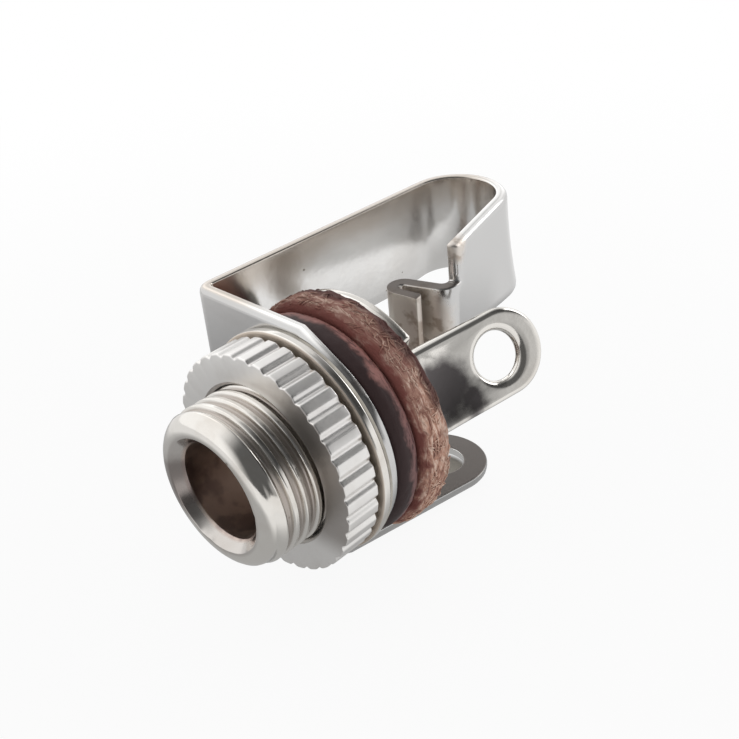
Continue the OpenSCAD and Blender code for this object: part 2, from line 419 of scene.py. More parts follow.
def strand_tube(line, first):
    """Points and faces of a thin closed tube that tapers to both ends."""
    points = []
    for k, p in enumerate(line):
        ahead = (line[min(k + 1, strand_steps)] - line[max(k - 1, 0)]).normalized()
        outward = Vector((p.x, 0, p.z)).normalized()
        sideways = ahead.cross(outward)
        swell = math.sin(math.pi * k / strand_steps)
        width = strand_r * (strand_end + (1 - strand_end) * swell)
        for s in range(strand_sides):
            a = 2 * math.pi * s / strand_sides
            points.append(p + (outward * math.cos(a) + sideways * math.sin(a)) * width)
    rows = [first + k * strand_sides for k in range(strand_steps + 1)]
    faces = []
    for row, above in zip(rows, rows[1:]):
        faces += band(row, above, strand_sides)
    faces += [[row + s for s in range(strand_sides)] for row in (rows[0], rows[-1])]
    return points, faces


strand_points, strand_faces = [], []
for _ in range(strand_count):
    tube_points, tube_faces = strand_tube(strand_line(), len(strand_points))
    strand_points += tube_points
    strand_faces += tube_faces
strands = add_piece("fibre_strands", weld_shell(strand_points, strand_faces), "socket")

# %% [markdown]
# ## Sheet pieces
# The spring and the lug are stamped from sheet and folded. Only the middle of the sheet is drawn, flat by
# flat and fold by fold. A finished flat could be bent with a modifier, but each fold would then move the
# next one. So a fold is walked like a path: so far ahead, then a turn to the right round an inside radius.

# %% Walk along folds
FOLD_FACET = 6


def heading_vector(degrees):
    return Vector((math.cos(math.radians(degrees)), math.sin(math.radians(degrees))))


def fold_line(start, heading, sheet_t, folds):
    """Middle line of a strip that lies to the left of the walk. A fold is (run, turn to the right, inside
    radius). Gives the points of each fold, and where the walk stands and heads afterwards."""
    at = Vector(start)
    legs = []
    for run, turn, inside in folds:
        ahead, left = heading_vector(heading), heading_vector(heading + 90)
        hinge_side = sheet_t + inside if turn < 0 else -inside
        hinge = at + ahead * run + left * hinge_side
        steps = math.ceil(abs(turn) / FOLD_FACET)
        swing = [heading_vector(heading + 90 - turn * k / steps) for k in range(steps + 1)]
        legs.append([hinge + side * (sheet_t / 2 - hinge_side) for side in swing])
        heading -= turn
        at = hinge - heading_vector(heading + 90) * hinge_side
    return legs, at, heading


def walk_on(at, heading, sheet_t, run):
    """Point on the middle line, a run further on from where a walk stands."""
    return at + heading_vector(heading) * run + heading_vector(heading + 90) * sheet_t / 2


# %% [markdown]
# ### Outlines
# A stamping tool cuts arcs and straights. Arcs are drawn as points at even angles. A straight that has to
# follow a bent neighbour is divided, so that both have points to meet at.

# %% Draw arcs and divide straights
ROUND_STEPS = 40
SHANK_HOLE_POINTS = 72


def arc_points(centre, radius, start, end, steps=ROUND_STEPS):
    """Points on an arc in degrees, both ends included."""
    angles = [start + (end - start) * k / steps for k in range(steps + 1)]
    return [Vector(centre) + heading_vector(a) * radius for a in angles]


def ring_points(centre, radius, count=SHANK_HOLE_POINTS):
    """Points all round a circle."""
    return arc_points(centre, radius, 0, 360 - 360 / count, count - 1)


def divide(points, step):
    """Adds points to a line so that none are further apart than the step."""
    line = [points[0]]
    for a, b in zip(points, points[1:]):
        parts = max(1, math.ceil((b - a).length / step))
        line += [a.lerp(b, k / parts) for k in range(1, parts + 1)]
    return line


# %% [markdown]
# ### Patches
# A sheet is gathered from three kinds of patch. A ribbon is a strip that bends. A flat is a plate with a
# hole, made of only two faces, so that it stays perfectly flat in a reflection. Rings go round a hole and
# can take a curve.

# %% Gather the patches of a sheet
def cycle(start, end, count):
    """Numbers from start to end going up round a ring of count."""
    return [(start + k) % count for k in range((end - start) % count + 1)]


def towards(points, middle, angle):
    """Number of the point that lies closest to a direction from the middle."""

    def off(p):
        turn = math.atan2(*(p - middle).yx) - angle
        return abs(math.atan2(math.sin(turn), math.cos(turn)))

    return min(range(len(points)), key=lambda k: off(points[k]))


class Sheet:
    """Points and faces of the middle of one stamped sheet, gathered patch by patch."""

    def __init__(self):
        self.points = []
        self.faces = []

    def ribbon(self, path, levels, place):
        """A bent strip: path is its middle line, levels are the heights of its rows."""
        first = len(self.points)
        rows = len(levels)
        self.points += [place(p, level) for p in path for level in levels]
        for i in range(len(path) - 1):
            for j in range(rows - 1):
                corner = first + i * rows + j
                self.faces.append((corner, corner + 1, corner + rows + 1, corner + rows))

    def flat(self, outline, hole, place):
        """A flat with one round hole, as two faces that meet on a line through the hole."""
        first = len(self.points)
        self.points += [place(p) for p in outline + hole]
        middle = sum(hole, Vector((0, 0))) / len(hole)
        ways = (math.pi / 2, -math.pi / 2)
        cuts = [(towards(outline, middle, a), towards(hole, middle, a)) for a in ways]
        for (out_a, in_a), (out_b, in_b) in (cuts, cuts[::-1]):
            rim = cycle(out_a, out_b, len(outline))
            inner = cycle(in_a, in_b, len(hole))[::-1]
            self.faces.append([first + k for k in rim] + [first + len(outline) + k for k in inner])

    def rings(self, outline, centre, radius, shares, place):
        """Rings of faces round one hole. Shares run from the outline, 0, to the hole, 1."""
        first = len(self.points)
        count = len(outline)
        for share in shares:
            for p in outline:
                edge = centre + (p - centre).normalized() * radius
                self.points.append(place(p.lerp(edge, share)))
        for k in range(len(shares) - 1):
            self.faces += band(first + k * count, first + (k + 1) * count, count)


# %% [markdown]
# ### Thickness and rolled edges
# Solidify could give the sheet its thickness, but a stamped edge is not the same on both sides: the tool
# rolls the edge over on the side that it enters, and leaves it nearly sharp on the other. So the two sides
# and the rim are made here, each rim edge gets its own bevel weight, and Bevel rounds it by that much.

# %% Give a sheet its two sides, its rim and its rolled edges
CORNER_WEIGHT = 0.4
SHARP_TURN = math.radians(30)
ROLL_STEPS = 4
FLAT_WEIGHT = 80


def thick_shell(sheet, sheet_t, burr_weight, rim_weight):
    """Both sides and the rim of a sheet, with a bevel weight on each rim edge. The front of the first flat
    is the side that the tool enters, where the edge is rolled most. rim_weight gives its share at a point."""
    middle = weld_shell(sheet.points, sheet.faces)
    if max(middle.faces, key=lambda f: f.calc_area()).normal.y > 0:
        bmesh.ops.reverse_faces(middle, faces=middle.faces)
    middle.normal_update()
    middle.verts.index_update()
    solid = bmesh.new()
    weight = solid.edges.layers.float.new("bevel_weight_edge")
    upper = [solid.verts.new(v.co + v.normal * sheet_t / 2) for v in middle.verts]
    lower = [solid.verts.new(v.co - v.normal * sheet_t / 2) for v in middle.verts]
    for face in middle.faces:
        solid.faces.new([upper[v.index] for v in face.verts])
        solid.faces.new([lower[v.index] for v in reversed(face.verts)])
    for edge in (e for e in middle.edges if e.is_boundary):
        loop = edge.link_loops[0]
        a, b = loop.vert.index, loop.link_loop_next.vert.index
        solid.faces.new([upper[b], upper[a], lower[a], lower[b]])
        share = rim_weight(loop.vert.co)
        solid.edges.get((upper[a], upper[b]))[weight] = share
        solid.edges.get((lower[a], lower[b]))[weight] = share * burr_weight
    for vert in (v for v in middle.verts if v.is_boundary):
        to_a, to_b = [e.other_vert(vert).co - vert.co for e in vert.link_edges if e.is_boundary]
        if to_a.angle(-to_b) > SHARP_TURN:
            solid.edges.get((upper[vert.index], lower[vert.index]))[weight] = CORNER_WEIGHT
    middle.free()
    return solid


def roll_edges(piece, roll):
    """Rounds the weighted edges of a sheet and keeps its flats flat."""
    rim = piece.modifiers.new("rolled edges", "BEVEL")
    rim.width = roll * MM
    rim.segments = ROLL_STEPS
    rim.limit_method = "WEIGHT"
    rim.use_clamp_overlap = False
    piece.modifiers.new("flat flats", "WEIGHTED_NORMAL").weight = FLAT_WEIGHT


# %% [markdown]
# ## Tip spring
# One strip of spring sheet makes the plate under the collar, the arm, the U-bend, the return strip and the
# tongue that presses on the plug's tip, and the plate's lower edge folds back as the solder terminal. The
# walk starts at the plate's left edge and goes round seen from above. The hand that bent the strip left the
# U-bend a little wider at its lower edge, so each row of the strip is moved out by its own amount.

# %% Walk the arm, the bend and the return strip
fold_r = 0.15
plate_edge = Vector((-4.42557, 0.9))
strip_low = 0.15
strip_step = 0.7
arm_folds = [(0, 93, fold_r), (10.7, 161.5, 1.65)]
return_len = 4.3
bend_flare = 0.32
flare_from, flare_full = 4, 1
spring_low, spring_high = box_mm("tip_spring")
strip_top = spring_high.z
legs, at, heading = fold_line(plate_edge, 180, spring_t, arm_folds)
strip_path = divide([*legs[0], *legs[1], walk_on(at, heading, spring_t, return_len)], strip_step)
bend_middle = (legs[1][0] + legs[1][-1]) / 2
bend_back = max(p.y for p in strip_path)


def strip_place(p, height):
    """Stands the strip up and lets the U-bend flare towards its lower edge."""
    depth = (strip_top - height) / (strip_top - strip_low)
    share = float(smooth_step(p.y, bend_back - flare_from, bend_back - flare_full))
    outward = (p - bend_middle).normalized() * bend_flare * depth**2 * share
    return Vector((p.x + outward.x, p.y + outward.y, height))


print(f"the strip reaches back to y {bend_back:.2f} mm")

# %% [markdown]
# ### Plate and tongue
# The upper part of the strip ends in a square cut. Only the lower part goes on, folds across the plug's path
# and is hooked back at its end, which leaves the notch that the light shows through. Cutting the notch from
# a full strip would need a boolean. Two ribbons of different height need none, because their rows meet.

# %% Draw the plate, the strip and the tongue
plate_r = 4.0
plate_hole_r = 2.9
plate_left_steps = 24
tab_half = 1.35
tab_fold_z = -4.35
tongue_top = 2.9
tongue_folds = [(return_len, 88, 0.25), (1.2, -170, fold_r)]
lead_in = 1.0
low_levels = list(np.linspace(strip_low, tongue_top, 7))
levels = low_levels + list(np.linspace(tongue_top, strip_top, 5))[1:]
top_corner = Vector((0.35, strip_top))
arm_root = Vector((plate_edge.x, strip_low))
tab_side = math.degrees(math.acos(tab_half / plate_r))


def tangent_angle(point, radius, side):
    """Where a line from the point touches a circle about the axis, in degrees."""
    reach = math.degrees(math.acos(min(1, radius / point.length)))
    return math.degrees(math.atan2(point.y, point.x)) + side * reach


def plate_place(p):
    return Vector((p.x, plate_edge.y - spring_t / 2, p.y))


plate_right = tangent_angle(top_corner, plate_r, -1)
plate_left = tangent_angle(arm_root, plate_r, 1) - 360
plate_outline = [
    *[Vector((plate_edge.x, level)) for level in levels],
    top_corner,
    *arc_points((0, 0), plate_r, plate_right, -tab_side),
    Vector((tab_half, tab_fold_z)),
    Vector((-tab_half, tab_fold_z)),
    *arc_points((0, 0), plate_r, tab_side - 180, plate_left, plate_left_steps),
]
spring = Sheet()
spring.flat(plate_outline[::-1], ring_points((0, 0), plate_hole_r), plate_place)
spring.ribbon(strip_path, levels, strip_place)
legs, at_hook, hook_heading = fold_line(at, heading, spring_t, tongue_folds)
hook_end = walk_on(at_hook, hook_heading, spring_t, lead_in)
spring.ribbon(divide([*legs[0], *legs[1], hook_end], strip_step), low_levels, strip_place)
print(f"the hook ends at x {hook_end.x:.2f} y {hook_end.y:.2f} mm")

# %% [markdown]
# ### Tip terminal
# The plate's lower edge runs on into a fold and the solder terminal, which slopes down a little behind the
# stack and widens to a round end. It is walked in the same way, seen from the side, so the fold meets the
# plate's edge exactly and the weld joins them.

# %% Add the tip terminal and build the spring
tab_end_r = 2.0
tab_reach = 6.1
tab_slope = 4
tab_hole_points = 60
tab_hole_r = hole_radius("tip_terminal_hole")
spring_roll = 0.26
spring_burr = 0.3
tongue_rim_share = 0.3
edge_band = 0.05
tab_folds = [(0, 90 - tab_slope, fold_r)]
legs, at, heading = fold_line((-plate_edge.y, tab_fold_z), -90, spring_t, tab_folds)
tab_root = legs[0][-1]
tab_ahead = heading_vector(heading)


def tab_fold_place(p, across):
    return Vector((across, -p.x, p.y))


def tab_place(p):
    return tab_fold_place(tab_root + tab_ahead * p.y, p.x)


def spring_rim(p):
    """The tongue's upper edge is folded tightly, so it has room for less of a roll than the rest."""
    on_tongue = p.y > rear_high.y and abs(p.z - tongue_top) < edge_band
    return tongue_rim_share if on_tongue else 1


tab_end = Vector((0, tab_reach))
spread = tangent_angle(Vector((tab_half, -tab_reach)), tab_end_r, 1)
tab_outline = [
    Vector((-tab_half, 0)),
    Vector((tab_half, 0)),
    *arc_points(tab_end, tab_end_r, spread, 180 - spread),
]
spring.ribbon(legs[0], [-tab_half, tab_half], tab_fold_place)
spring.flat(tab_outline, ring_points(tab_end, tab_hole_r, tab_hole_points), tab_place)
spring_shell = thick_shell(spring, spring_t, spring_burr, spring_rim)
tip_spring = add_piece("folded_spring", spring_shell, "socket", "tip_spring")
roll_edges(tip_spring, spring_roll)

# %% [markdown]
# ## Sleeve lug
# The lug is a stamped disc that sits under the bead, with a solder tag cut from its rim and folded back. It
# is drawn level and then turned to its place about the plug's axis. Folding a tag that is wide for its
# length leaves it a little hollow beside the fold, and on bright metal the hollow shows as a dark cloud, so
# the tag is made of rings of faces that can take that curve; its finish deepens the cloud with a painted dark
# reflection. The disc is cut back on both sides of the tag, further on the lower side, to let the fold be
# made.

# %% Fold the tag and sink its hollow
lug_t = 0.4
lug_turn = 25
lug_splay = 14
lug_hinge_x = 3.35
lug_half = 1.55
lug_hollow = 0.17
hollow_from, hollow_to = 0.3, 2.5
lug_y = rear_high.y + lug_t
turn_to_place = Matrix.Rotation(-math.radians(lug_turn), 3, "Y")
lug_folds = [(0, 90 - lug_splay, fold_r)]
legs, at, heading = fold_line((lug_hinge_x, -lug_y), 0, lug_t, lug_folds)
fold_start, tag_root = legs[0][0], legs[0][-1]
tag_ahead = heading_vector(heading)
tag_outward = heading_vector(heading + 90)


def disc_place(p):
    return turn_to_place @ Vector((p.x, lug_y - lug_t / 2, p.y))


def hollowed(line, across, share):
    """Stands a point of the tag's middle line up, sunk by its share of the hollow."""
    line = line - tag_outward * lug_hollow * float(share) * (1 - (across / lug_half) ** 2)
    return turn_to_place @ Vector((line.x, -line.y, across))


def lug_fold_place(p, across):
    share = smooth_step(p.y, fold_start.y, tag_root.y) if p.y < fold_start.y else 0
    return hollowed(p, across, share)


def tag_place(p):
    return hollowed(tag_root + tag_ahead * p.x, p.y, 1 - smooth_step(p.x, hollow_from, hollow_to))


print("the tag starts at", [round(v, 2) for v in tag_place(Vector((0, 0)))], "mm")

# %% Build the sleeve lug
lug_end_reach = 3.05
lug_hole_r = hole_radius("lug_hole")
tag_hole = Vector((2.75, 0))
tag_step = 0.3
tag_rings = (0, 0.3, 0.55, 1)
half_rows = 4
tag_rows = [lug_half * k / half_rows for k in range(-half_rows, half_rows + 1)]
disc_r = -box_mm("sleeve_lug")[0].x
disc_steps = 100
upper_relief = 28
lower_relief = 60
lug_roll = 0.27
lug_rim_share = 0.65
lug_burr = 0.4


def lug_rim(p):
    """The tag's hole was punched with a dull tool, so its edge is rolled more than the rest."""
    return 1 if (p - tag_place(tag_hole)).length < lug_hole_r + WELD else lug_rim_share


def tag_side(start, end, across):
    """One straight side of the tag, without its first point."""
    return divide([Vector((start, across)), Vector((end, across))], tag_step)[1:]


disc_outline = [
    *[Vector((lug_hinge_x, row)) for row in tag_rows],
    *arc_points((0, 0), disc_r, upper_relief, 360 - lower_relief, disc_steps),
]
tag_outline = [
    *[Vector((0, row)) for row in tag_rows[::-1]],
    *tag_side(0, lug_end_reach, -lug_half),
    *arc_points((lug_end_reach, 0), lug_half, -90, 90)[1:],
    *tag_side(lug_end_reach, 0, lug_half)[:-1],
]
lug = Sheet()
lug.flat(disc_outline, ring_points((0, 0), washer_hole_r), disc_place)
lug.ribbon(legs[0], tag_rows, lug_fold_place)
lug.rings(tag_outline, tag_hole, lug_hole_r, tag_rings, tag_place)
lug_shell = thick_shell(lug, lug_t, lug_burr, lug_rim)
sleeve_lug = add_piece("solder_lug", lug_shell, "socket", "sleeve_lug")
roll_edges(sleeve_lug, lug_roll)

# %% [markdown]
# ## Finishes
# A finish is a shader of a few nodes. They could be placed one by one, each with its links, but that takes a
# page for one mask. A small class adds a node, feeds its inputs and gives back the socket that matters, so a
# mask reads as one line. All places in the finishes are in millimetres too.

# %% Helpers for shader nodes
class Nodes:
    """Adds nodes to one shader tree. An input is a value, or a socket to link from."""

    def __init__(self, tree):
        self.tree = tree

    def feed(self, socket, value):
        if isinstance(value, bpy.types.NodeSocket):
            self.tree.links.new(value, socket)
        elif socket.type == "RGBA":
            socket.default_value = (*value, 1)
        else:
            socket.default_value = value

    def add(self, kind, settings=(), inputs=()):
        made = self.tree.nodes.new("ShaderNode" + kind)
        for key, value in dict(settings).items():
            setattr(made, key, value)
        for key, value in dict(inputs).items():
            self.feed(made.inputs[key], value)
        return made

    def calc(self, operation, first, *others):
        """Joins values by one operation, from left to right."""
        for other in others:
            first = self.add("Math", {"operation": operation}, {0: first, 1: other}).outputs[0]
        return first

    def times(self, *factors):
        return self.calc("MULTIPLY", *factors)

    def spread(self, value, low, high, to_low=0.0, to_high=1.0):
        """Maps low..high smoothly to to_low..to_high."""
        inputs = {"Value": value, "From Min": low, "From Max": high, "To Min": to_low, "To Max": to_high}
        return self.add("MapRange", {"interpolation_type": "SMOOTHSTEP"}, inputs).outputs[0]

    def mix_tone(self, share, first, second):
        return self.add("Mix", {"data_type": "RGBA"}, {0: share, 6: first, 7: second}).outputs[2]

    def mix_value(self, share, first, second):
        return self.add("Mix", inputs={0: share, 2: first, 3: second}).outputs[0]

    def place(self):
        """Where a point of the surface is, from the object's origin."""
        metres = self.add("TexCoord").outputs["Object"]
        return self.add("VectorMath", {"operation": "SCALE"}, {0: metres, "Scale": 1 / MM}).outputs[0]

    def split(self, vector):
        """The x, y and z of a vector."""
        return self.add("SeparateXYZ", inputs={0: vector}).outputs

    def facing(self):
        """The x, y and z of the way that the surface looks."""
        return self.split(self.add("NewGeometry").outputs["Normal"])

    def distance(self, place, centre=(0, 0, 0)):
        return self.add("VectorMath", {"operation": "DISTANCE"}, {0: place, 1: centre}).outputs["Value"]

    def noise(self, place, per_mm, detail=3.0, roughness=0.55, distortion=0.0):
        inputs = {"Vector": place, "Scale": per_mm, "Detail": detail, "Roughness": roughness}
        return self.add("TexNoise", inputs={**inputs, "Distortion": distortion}).outputs[0]


# %% [markdown]
# ### Groups
# What more than one finish needs is a node group with named sockets: the mottling of plating and the strands
# of fibre. A group only puts out what changes over the surface, and each material feeds that to its own
# Principled shader. Copies of the nodes in each material would look the same, but each would have to be
# kept in step with the others.

# %% Open and close a group, and make a finish from it
def new_group(name, sockets_in, sockets_out):
    """A node group with named sockets, and the sockets that bring its inputs in."""
    tree = bpy.data.node_groups.new(name, "ShaderNodeTree")
    for way, sockets in (("INPUT", sockets_in), ("OUTPUT", sockets_out)):
        for label, kind in sockets.items():
            tree.interface.new_socket(label, in_out=way, socket_type="NodeSocket" + kind)
    return Nodes(tree), tree.nodes.new("NodeGroupInput").outputs


def close_group(group, **results):
    """Links the results to the group's outputs."""
    out = group.tree.nodes.new("NodeGroupOutput")
    for label, socket in results.items():
        group.feed(out.inputs[label], socket)
    print("group:", group.tree.name, len(group.tree.nodes), "nodes")


def new_finish(name):
    """A material, its nodes and its shader."""
    material = bpy.data.materials.new(name)
    material.use_nodes = True
    return material, Nodes(material.node_tree), material.node_tree.nodes["Principled BSDF"]


def layered_finish(name, group, values, bump_strength, bump_depth):
    """A material whose colour and bump come from a group, with its nodes, shader and the group's outputs."""
    material, surface, shader = new_finish(name)
    layer = surface.add("Group", {"node_tree": group.tree}, values).outputs
    surface.feed(shader.inputs["Base Color"], layer["Color"])
    bump = {"Strength": bump_strength, "Distance": bump_depth * MM, "Height": layer["Height"]}
    surface.feed(shader.inputs["Normal"], surface.add("Bump", inputs=bump).outputs[0])
    return material, surface, shader, layer


def dress(piece, material):
    piece.data.materials.clear()
    piece.data.materials.append(material)
    print(f"{piece.name}: {material.name}")


# %% [markdown]
# ### Nickel plating
# Nickel over brass is bright, slightly warm, and never even: it has cloudy patches, a fine orange-peel
# surface and the odd dark speck where the plating missed. The patches go to colour and roughness, and the
# peel goes to a bump, because it is far too fine for the mesh.

# %% Group for the plating's mottling
fine_per_mm = 14
peel_per_mm = 2.5
specks_per_mm = 0.7
speck_tone = (0.16, 0.13, 0.1)
dull_span = (0.45, 0.75)
fine_share = 0.6
gloss_low, gloss_high = 0.3, 0.7
plating, given = new_group(
    "Plating",
    {"Light": "Color", "Dull": "Color", "Patches per mm": "Float",
     "Smooth": "Float", "Rough": "Float", "Speck": "Float"},
    {"Color": "Color", "Roughness": "Float", "Height": "Float"},
)
place = plating.place()
cloud = plating.noise(place, given["Patches per mm"], detail=4, roughness=0.6)
fine = plating.noise(place, fine_per_mm, detail=2)
peel = plating.noise(place, peel_per_mm, detail=2)
patches = plating.mix_tone(plating.spread(cloud, *dull_span), given["Light"], given["Dull"])
specks = plating.add("TexVoronoi", inputs={"Vector": place, "Scale": specks_per_mm}).outputs["Distance"]
speck_mask = plating.spread(specks, given["Speck"], plating.times(given["Speck"], 2), 1, 0)
speckled = plating.mix_tone(speck_mask, patches, speck_tone)
gloss_mix = plating.calc("ADD", plating.times(fine, fine_share), plating.times(cloud, 1 - fine_share))
gloss_from = {"Value": gloss_mix, "From Min": gloss_low, "From Max": gloss_high}
gloss_to = {"To Min": given["Smooth"], "To Max": given["Rough"]}
gloss = plating.add("MapRange", inputs={**gloss_from, **gloss_to}).outputs[0]
close_group(plating, Color=speckled, Roughness=gloss, Height=peel)


# %% Nickel for each metal piece
peel_strength = 0.5


def nickel(name, light, dull, patches, smooth, rough, speck, peel_depth):
    """Plated metal with its own tone, gloss and evenness."""
    values = {"Light": light, "Dull": dull, "Patches per mm": patches}
    values |= {"Smooth": smooth, "Rough": rough, "Speck": speck}
    material, surface, shader, coat = layered_finish(name, plating, values, peel_strength, peel_depth)
    shader.inputs["Metallic"].default_value = 1
    surface.feed(shader.inputs["Roughness"], coat["Roughness"])
    return material


warm = (0.76, 0.735, 0.695)
turned_finish = nickel(
    "bright nickel, turned", light=warm, dull=(0.66, 0.62, 0.57),
    patches=0.5, smooth=0.08, rough=0.17, speck=0.03, peel_depth=0.004)
knurl_finish = nickel(
    "nickel, knurled", light=(0.82, 0.805, 0.785), dull=(0.75, 0.73, 0.705),
    patches=0.6, smooth=0.28, rough=0.4, speck=0.02, peel_depth=0.004)
spring_finish = nickel(
    "nickel, spring sheet", light=(0.88, 0.87, 0.855), dull=(0.81, 0.79, 0.765),
    patches=0.25, smooth=0.14, rough=0.22, speck=0.02, peel_depth=0.008)
lug_finish = nickel(
    "bright nickel, stamped", light=warm, dull=(0.67, 0.63, 0.58),
    patches=0.4, smooth=0.1, rough=0.2, speck=0.02, peel_depth=0.008)
dress(bush, turned_finish)
dress(ring_nut, knurl_finish)
dress(tip_spring, spring_finish)
dress(sleeve_lug, lug_finish)

# %% [markdown]
# ### Tarnish and painted shade
# Plating is thin in a bore and goes dull where a plug rubs. The same masks also paint shade, dark reflections
# and light into several finishes, and each place below says which. A vertex-painted mask could say where, but
# it would be tied to the points of one mesh. A mask from places in the finish is worked out from the same
# sizes as the shapes, and a noise makes its border ragged.

# %% Lay tarnish or painted shade over a finish
ragged_per_mm = 1.1
ragged_reach = 1.2
noise_middle = 0.5


def tarnish_and_painted_shade(finish, share, tone, gloss):
    """Covers a finish by a share that runs from 0, none, to 1."""
    surface = Nodes(finish.node_tree)
    inputs = surface.tree.nodes["Principled BSDF"].inputs
    for label, mix, value in (
        ("Base Color", surface.mix_tone, tone),
        ("Roughness", surface.mix_value, gloss),
    ):
        surface.feed(inputs[label], mix(share, inputs[label].links[0].from_socket, value))
    print("tarnish on", finish.name)


def near_point(surface, centre, full, none):
    """1 up to a distance from a place, then falling to 0, with a ragged border."""
    place = surface.place()
    ragged = surface.calc("SUBTRACT", surface.noise(place, ragged_per_mm), noise_middle)
    away = surface.calc("ADD", surface.distance(place, centre), surface.times(ragged, ragged_reach))
    return surface.spread(away, full, none, 1, 0)


# %% [markdown]
# A dark cloud is painted beside the tag's fold, as a painted dark reflection that deepens what the hollow
# shows.
# One round mask would look like a dot, so two that overlap make up its outline.

# %% Painted dark reflection on the lug
metal = Nodes(lug_finish.node_tree)
painted_reflection_by_fold = near_point(metal, tag_place(Vector((0.35, -0.1))), full=0.75, none=1.45)
painted_reflection_by_side = near_point(metal, tag_place(Vector((1.15, -0.95))), full=0.3, none=0.8)
# painted dark reflection beside the tag's fold
cloud = metal.times(metal.calc("MAXIMUM", painted_reflection_by_fold, painted_reflection_by_side), 0.9)
tarnish_and_painted_shade(lug_finish, cloud, tone=(0.07, 0.06, 0.065), gloss=0.3)

# %% [markdown]
# The spring's arm has yellowed along its top. Its outer faces are painted greyer than its inner ones, as
# painted shade that darkens their reflections. A mask for one outer face needs two things: the way that it
# looks, and that it lies beyond an edge on that side, which an inner face that looks the same way doesn't.

# %% Yellowed top and painted shade on the outer faces of the spring
metal = Nodes(spring_finish.node_tree)
spot = metal.split(metal.place())
facing = metal.facing()
ragged_top = metal.calc("ADD", spot[2], metal.noise(metal.place(), 0.5))
on_arm = metal.spread(spot[0], -3, -1, 1, 0)
yellowed = metal.times(metal.spread(ragged_top, 3.2, 4.6, 0, 0.75), on_arm)
tarnish_and_painted_shade(spring_finish, yellowed, tone=(0.56, 0.49, 0.42), gloss=0.25)
shaded_outer_sides = []
soft_edge = 0.5
for axis, way, edge in [(0, 1, -1.5), (0, -1, 3.5), (1, -1, -3), (1, 1, 9)]:
    looks_out = metal.spread(metal.times(facing[axis], way), 0.3, 0.7)
    beyond = metal.spread(metal.times(spot[axis], way), edge - soft_edge, edge + soft_edge)
    shaded_outer_sides.append(metal.times(looks_out, beyond))
# painted shade on the outer faces
outside = metal.times(metal.calc("MAXIMUM", *shaded_outer_sides), 0.9)
tarnish_and_painted_shade(spring_finish, outside, tone=(0.54, 0.535, 0.53), gloss=0.18)

# %% [markdown]
# Plugs have worn the hook matt and left stains on it in patches. The upward faces along the tongue's upper
# edge in the notch are darkened, and the terminal's upper face is painted with shade, as it lies low under
# the stack. Both are told by their height, and by looking up, so the faces beside them stay bright.

# %% Worn hook, darkened notch edge and painted shade on the terminal
hook_middle = walk_on(at_hook, hook_heading, spring_t, lead_in / 2)
on_hook = near_point(metal, Vector((*hook_middle, 1.4)), full=1.3, none=2.0)
on_return = near_point(metal, Vector((*strip_path[-1], strip_top)), full=0.5, none=1.0)
worn = metal.calc("MAXIMUM", on_hook, on_return)
tarnish_and_painted_shade(spring_finish, metal.times(worn, 0.85), tone=(0.74, 0.68, 0.62), gloss=0.5)
hook_stain = metal.spread(metal.noise(metal.place(), 1.4), 0.48, 0.62, 0, 0.7)
tarnish_and_painted_shade(spring_finish, metal.times(worn, hook_stain), tone=(0.38, 0.31, 0.25), gloss=0.45)
looks_up = metal.spread(facing[2], 0.5, 0.85)
from_notch = metal.calc("ABSOLUTE", metal.calc("SUBTRACT", spot[2], tongue_top), 0)
in_notch = metal.spread(from_notch, 0.15, 0.3, 1, 0)
terminal_shade = metal.spread(spot[2], -4.8, -4.6, 1, 0)
dark_notch_and_terminal_shade = metal.times(looks_up, metal.calc("MAXIMUM", in_notch, terminal_shade), 0.9)
# darkening along the notch edge, and painted shade on the terminal's upper face
tarnish_and_painted_shade(spring_finish, dark_notch_and_terminal_shade, tone=(0.105, 0.087, 0.076), gloss=0.45)

# %% [markdown]
# In the bush, the plating bath hardly reached the bore, so the brass shows through and has stained. The cone
# of the mouth is painted darker grey than the lip, as painted shade, and its left is darker still, partly
# grime and partly painted shade. How far a point is from the axis tells the cone and the bore from the lip.

# %% Mouth and bore of the bush
metal = Nodes(turned_finish.node_tree)
spot = metal.split(metal.place())
across = metal.add("CombineXYZ", inputs={0: spot[0], 2: spot[2]}).outputs[0]
reach = metal.distance(across)
# painted shade: the cone greyer than the lip
cone = metal.spread(reach, mouth_r, mouth_r + 0.15, 0.5, 0)
tarnish_and_painted_shade(turned_finish, cone, tone=(0.42, 0.385, 0.365), gloss=0.2)
inside = metal.spread(reach, bore_r + 0.02, bore_r + 0.12, 0.8, 0)
tarnish_and_painted_shade(turned_finish, inside, tone=(0.66, 0.54, 0.47), gloss=0.4)
bore_stain = metal.spread(metal.noise(metal.place(), 0.9), 0.45, 0.6, 0, 0.8)
tarnish_and_painted_shade(turned_finish, metal.times(inside, bore_stain), tone=(0.3, 0.24, 0.23), gloss=0.35)
# grime and painted shade on the left of the cone
mouth_grime_and_shade = near_point(metal, Vector((-mouth_r, nose_y, -0.5)), full=0.7, none=1.5)
tarnish_and_painted_shade(turned_finish, metal.times(mouth_grime_and_shade, 0.7), tone=(0.2, 0.165, 0.155), gloss=0.25)

# %% [markdown]
# The thread's roots are painted darker, as painted shade in the grooves, and the collar's seat is painted a
# matt brown, as painted light in the narrow gap behind the nut. The roots are told by their distance from the
# axis, so the painted shade follows the helix by itself.

# %% Painted shade in the thread roots and painted light on the collar seat
root_low, root_high = thread_r - 0.8 * thread_depth, thread_r - 0.3 * thread_depth
root_shade = metal.spread(reach, root_low, root_high, 0.75, 0)
past_mouth = metal.spread(reach, mouth_r + 0.3, mouth_r + 0.4)
on_thread = metal.spread(spot[1], nose_y + lip_r, nose_y + lip_r + 0.1)
